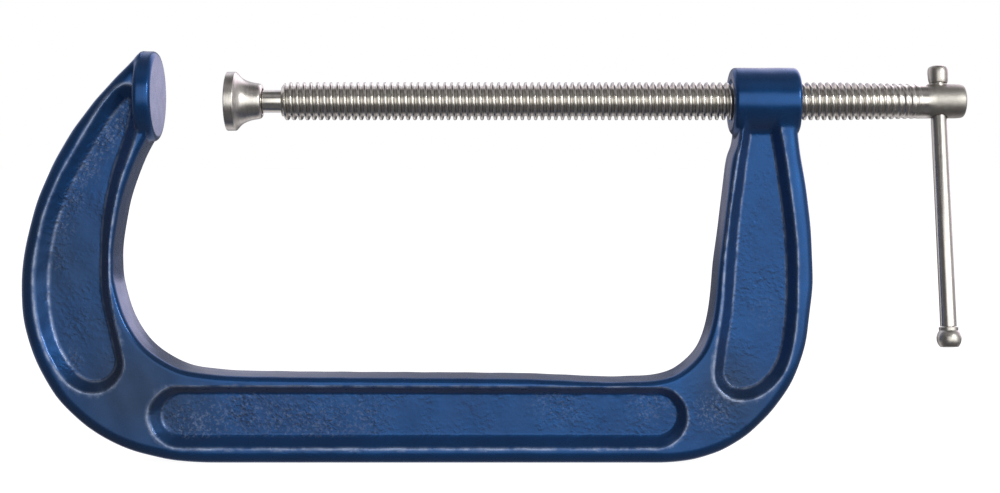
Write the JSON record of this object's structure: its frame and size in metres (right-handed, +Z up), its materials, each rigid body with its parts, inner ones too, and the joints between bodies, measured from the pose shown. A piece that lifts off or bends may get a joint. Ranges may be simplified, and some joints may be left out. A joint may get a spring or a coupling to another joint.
{
  "type": "c clamp",
  "caption": "Forged C-shaped clamp frame with a feed screw, a swivel pad on the screw's round tip and a sliding cross bar through its head.",
  "frame": {"origin": "centre of the fixed jaw's face, on the feed screw's axis", "axes": "+X along the feed screw away from the fixed jaw, +Z up from the spine towards the screw, the frame lies in the XZ plane"},
  "size_m": [0.3547, 0.0345, 0.1545],
  "materials": {
    "enamel": "thick glossy blue enamel over a forged surface, smooth on the ribs and pebbled on the recess floors",
    "screw_steel": "bright machined steel, turned, with fine rings round the axis",
    "pad_steel": "bright turned steel with fine concentric tool marks",
    "spring_steel": "oiled spring wire",
    "bar_steel": "polished drawn bar",
    "ball_steel": "bright steel, lightly tumbled"
  },
  "bodies": {
    "frame": {"frame": "enamel"},
    "feed": {"pad_snap_ring": "spring_steel"},
    "screw": {"spindle": "screw_steel"},
    "bar": {"tommy_bar": "bar_steel", "bar_ball_cap": "ball_steel"},
    "pad": {"swivel_pad": "pad_steel"}
  },
  "joints": [
    {"name": "screw_feed", "type": "slide", "parent": "frame", "child": "feed", "axis": [1, 0, 0], "range_m": [-0.0252, 0.1763]},
    {"name": "screw_turn", "type": "hinge", "parent": "feed", "child": "screw", "pos_m": [0, 0, 0], "axis": [1, 0, 0], "range_deg": [-3557, 24955]},
    {"name": "bar_slide", "type": "slide", "parent": "screw", "child": "bar", "axis": [0, 0.1564, 0.9877], "range_m": [0, 0.078]},
    {"name": "pad_tilt", "type": "hinge", "parent": "feed", "child": "pad", "pos_m": [0.0342, 0, 0], "axis": [0, 1, 0], "range_deg": [-4, 4]}
  ],
  "couplings": [
    {"joint": "screw_feed", "follows": "screw_turn", "m_per_rad": 0.00040425}
  ]
}
